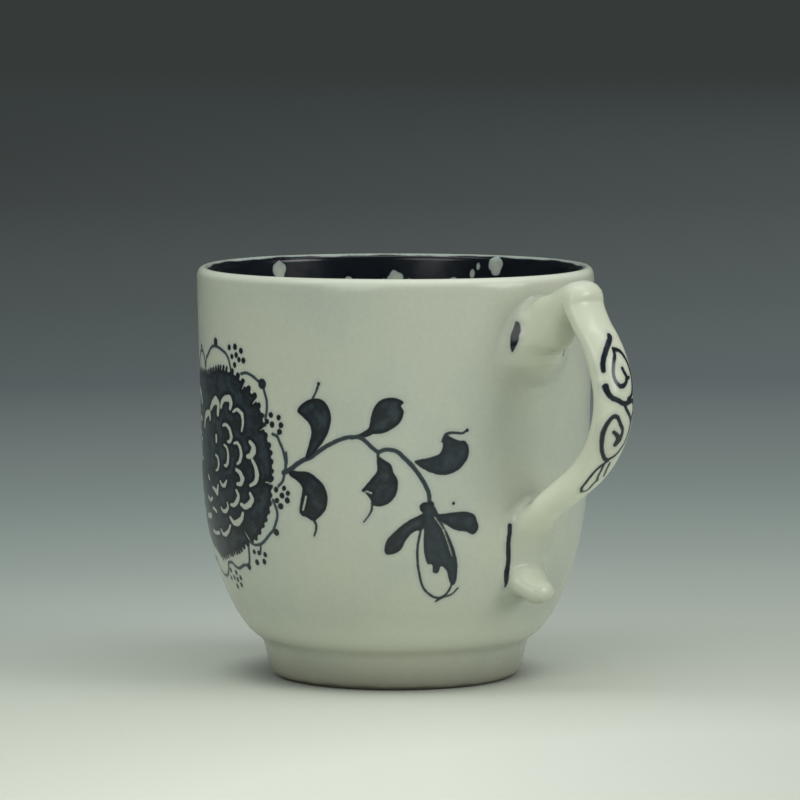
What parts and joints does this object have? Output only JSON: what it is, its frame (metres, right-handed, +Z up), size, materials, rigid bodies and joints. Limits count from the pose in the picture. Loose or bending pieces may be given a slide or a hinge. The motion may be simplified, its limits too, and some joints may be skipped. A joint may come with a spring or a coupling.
{
  "type": "coffee cup",
  "caption": "Small straight-sided porcelain coffee cup on a turned foot ring, with a strap handle that has a raised thumb rest and a curled tail.",
  "frame": {"origin": "on the resting plane, under the middle of the box round cup and handle together", "axes": "+Z up along the cup's axis, +X from the cup towards the handle, +Y across"},
  "size_m": [0.0768, 0.06, 0.062],
  "materials": {
    "glazed_body": "soft glossy lead glaze over greyish porcelain, painted in dark blue under the glaze",
    "glazed_foot": "glossy glaze, wiped thin at the resting edge",
    "glazed_handle": "glossy glaze, with painted scrolls",
    "slip": "glossy glaze over a soft-edged pad"
  },
  "bodies": {
    "root": {"cup_body": "glazed_body", "foot_ring": "glazed_foot", "handle": "glazed_handle", "upper_luting_slip": "slip", "lower_luting_slip": "slip"}
  },
  "joints": []
}
